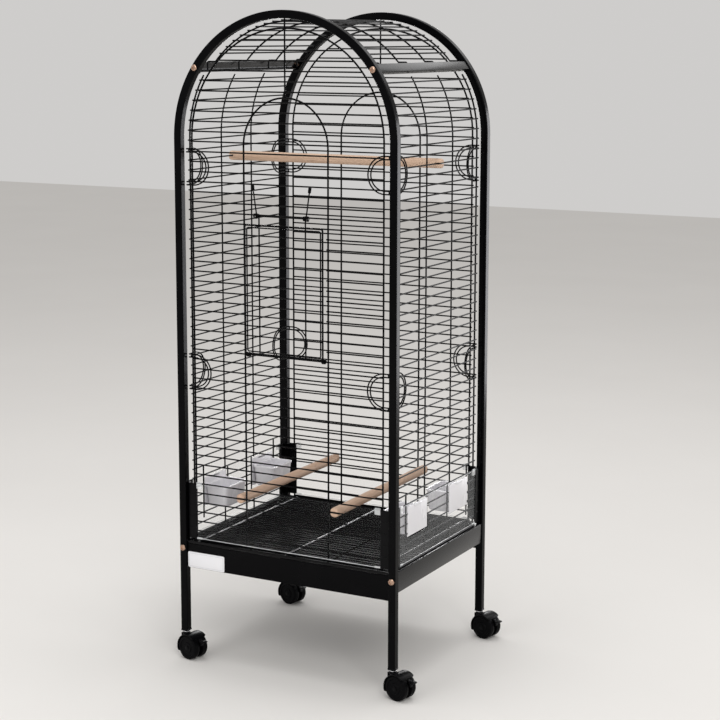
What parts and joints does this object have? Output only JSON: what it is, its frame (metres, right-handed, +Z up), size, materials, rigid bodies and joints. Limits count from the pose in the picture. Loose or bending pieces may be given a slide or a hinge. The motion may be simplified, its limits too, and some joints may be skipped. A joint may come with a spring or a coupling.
{
  "type": "bird cage on stand",
  "caption": "Tall arched wire bird cage on a square-tube stand with swivel casters, drop-down front door, slide-out tray, feeder cups, seed guards and wooden perches",
  "frame": {"origin": "centre of the object's bounding box at floor level, the plane the casters stand on", "axes": "+X to the right along the front, +Y from the front to the back, +Z up; the door and tray are on the -Y side"},
  "size_m": [0.5548, 0.457, 1.3295],
  "materials": {
    "black_frame": "semi-gloss black powder coat",
    "black_wire": "semi-gloss black coated wire",
    "caster_plastic": "moulded black plastic, light grain",
    "wheel_tread": "matt black moulded wheel",
    "bracket_plastic": "matt black plastic",
    "clear_plastic": "clear sheet",
    "cup_plastic": "milky white moulded plastic",
    "copper_bolt": "copper plated",
    "perch_wood": "turned bare wood",
    "blank_plate": "plain white label"
  },
  "bodies": {
    "cage": {"bolt_front_left_lower": "copper_bolt", "bolt_front_left_upper": "copper_bolt", "bolt_front_right_lower": "copper_bolt", "bolt_front_right_upper": "copper_bolt", "bolt_rear_left_lower": "copper_bolt", "bolt_rear_left_upper": "copper_bolt", "bolt_rear_right_lower": "copper_bolt", "bolt_rear_right_upper": "copper_bolt", "clip_front_left_lower": "black_wire", "clip_front_left_upper": "black_wire", "clip_front_right_lower": "black_wire", "clip_front_right_upper": "black_wire", "clip_rear_left_lower": "black_wire", "clip_rear_left_upper": "black_wire", "clip_rear_right_lower": "black_wire", "clip_rear_right_upper": "black_wire", "front_arch_tube": "black_frame", "front_guard": "clear_plastic", "front_panel": "black_wire", "guard_bracket_front_left": "bracket_plastic", "guard_bracket_front_right": "bracket_plastic", "guard_bracket_rear_left": "bracket_plastic", "guard_bracket_rear_right": "bracket_plastic", "left_base_rail": "black_frame", "left_guard": "clear_plastic", "left_panel": "black_wire", "left_top_rail": "black_frame", "perch_lower_left": "perch_wood", "perch_lower_right": "perch_wood", "perch_upper": "perch_wood", "rear_arch_tube": "black_frame", "rear_guard": "clear_plastic", "rear_panel": "black_wire", "rear_skirt": "black_frame", "right_base_rail": "black_frame", "right_guard": "clear_plastic", "right_panel": "black_wire", "right_top_rail": "black_frame", "roof_panel": "black_wire"},
    "tray": {"drawer_tray": "black_frame", "name_plate": "blank_plate"},
    "grate": {"floor_grate": "black_wire"},
    "door": {"front_door": "black_wire"},
    "latch": {"door_latch": "black_wire"},
    "swivel_front_left": {"caster_front_left": "caster_plastic"},
    "wheel_front_left": {"wheels_front_left": "wheel_tread"},
    "lever_front_left": {"brake_front_left": "caster_plastic"},
    "feeder_front_left": {"cup_front_left": "cup_plastic"},
    "swivel_front_right": {"caster_front_right": "caster_plastic"},
    "wheel_front_right": {"wheels_front_right": "wheel_tread"},
    "lever_front_right": {"brake_front_right": "caster_plastic"},
    "feeder_front_right": {"cup_front_right": "cup_plastic"},
    "swivel_rear_left": {"caster_rear_left": "caster_plastic"},
    "wheel_rear_left": {"wheels_rear_left": "wheel_tread"},
    "lever_rear_left": {"brake_rear_left": "caster_plastic"},
    "feeder_rear_left": {"cup_rear_left": "cup_plastic"},
    "swivel_rear_right": {"caster_rear_right": "caster_plastic"},
    "wheel_rear_right": {"wheels_rear_right": "wheel_tread"},
    "lever_rear_right": {"brake_rear_right": "caster_plastic"},
    "feeder_rear_right": {"cup_rear_right": "cup_plastic"}
  },
  "joints": [
    {"name": "tray_slide", "type": "slide", "parent": "cage", "child": "tray", "axis": [0, -1, 0], "range_m": [0, 0.36]},
    {"name": "grate_slide", "type": "slide", "parent": "cage", "child": "grate", "axis": [0, -1, 0], "range_m": [0, 0.36]},
    {"name": "door_drop", "type": "hinge", "parent": "cage", "child": "door", "pos_m": [-0.02249, -0.19565, 0.653], "axis": [1, 0, 0], "range_deg": [0, 90]},
    {"name": "latch_flip", "type": "hinge", "parent": "door", "child": "latch", "pos_m": [-0.02499, -0.20665, 0.932], "axis": [1, 0, 0], "range_deg": [0, 60]},
    {"name": "caster_swivel_front_left", "type": "hinge", "parent": "cage", "child": "swivel_front_left", "pos_m": [-0.26499, -0.20035, 0.057], "axis": [0, 0, 1], "continuous": true},
    {"name": "wheel_spin_front_left", "type": "hinge", "parent": "swivel_front_left", "child": "wheel_front_left", "pos_m": [-0.2455, -0.20485, 0.025], "axis": [0.225, 0.9744, 0], "continuous": true},
    {"name": "brake_tilt_front_left", "type": "hinge", "parent": "swivel_front_left", "child": "lever_front_left", "pos_m": [-0.22692, -0.20914, 0.04341], "axis": [0.225, 0.9744, 0], "range_deg": [0, 12]},
    {"name": "feeder_pull_front_left", "type": "slide", "parent": "cage", "child": "feeder_front_left", "axis": [-1, 0, 0], "range_m": [0, 0.05]},
    {"name": "caster_swivel_front_right", "type": "hinge", "parent": "cage", "child": "swivel_front_right", "pos_m": [0.22001, -0.20035, 0.057], "axis": [0, 0, 1], "continuous": true},
    {"name": "wheel_spin_front_right", "type": "hinge", "parent": "swivel_front_right", "child": "wheel_front_right", "pos_m": [0.2395, -0.20485, 0.025], "axis": [0.225, 0.9744, 0], "continuous": true},
    {"name": "brake_tilt_front_right", "type": "hinge", "parent": "swivel_front_right", "child": "lever_front_right", "pos_m": [0.25807, -0.20914, 0.04341], "axis": [0.225, 0.9744, 0], "range_deg": [0, 12]},
    {"name": "feeder_pull_front_right", "type": "slide", "parent": "cage", "child": "feeder_front_right", "axis": [1, 0, 0], "range_m": [0, 0.05]},
    {"name": "caster_swivel_rear_left", "type": "hinge", "parent": "cage", "child": "swivel_rear_left", "pos_m": [-0.26499, 0.20765, 0.057], "axis": [0, 0, 1], "continuous": true},
    {"name": "wheel_spin_rear_left", "type": "hinge", "parent": "swivel_rear_left", "child": "wheel_rear_left", "pos_m": [-0.2455, 0.20315, 0.025], "axis": [0.225, 0.9744, 0], "continuous": true},
    {"name": "brake_tilt_rear_left", "type": "hinge", "parent": "swivel_rear_left", "child": "lever_rear_left", "pos_m": [-0.22692, 0.19886, 0.04341], "axis": [0.225, 0.9744, 0], "range_deg": [0, 12]},
    {"name": "feeder_pull_rear_left", "type": "slide", "parent": "cage", "child": "feeder_rear_left", "axis": [-1, 0, 0], "range_m": [0, 0.05]},
    {"name": "caster_swivel_rear_right", "type": "hinge", "parent": "cage", "child": "swivel_rear_right", "pos_m": [0.22001, 0.20765, 0.057], "axis": [0, 0, 1], "continuous": true},
    {"name": "wheel_spin_rear_right", "type": "hinge", "parent": "swivel_rear_right", "child": "wheel_rear_right", "pos_m": [0.2395, 0.20315, 0.025], "axis": [0.225, 0.9744, 0], "continuous": true},
    {"name": "brake_tilt_rear_right", "type": "hinge", "parent": "swivel_rear_right", "child": "lever_rear_right", "pos_m": [0.25807, 0.19886, 0.04341], "axis": [0.225, 0.9744, 0], "range_deg": [0, 12]},
    {"name": "feeder_pull_rear_right", "type": "slide", "parent": "cage", "child": "feeder_rear_right", "axis": [1, 0, 0], "range_m": [0, 0.05]}
  ]
}
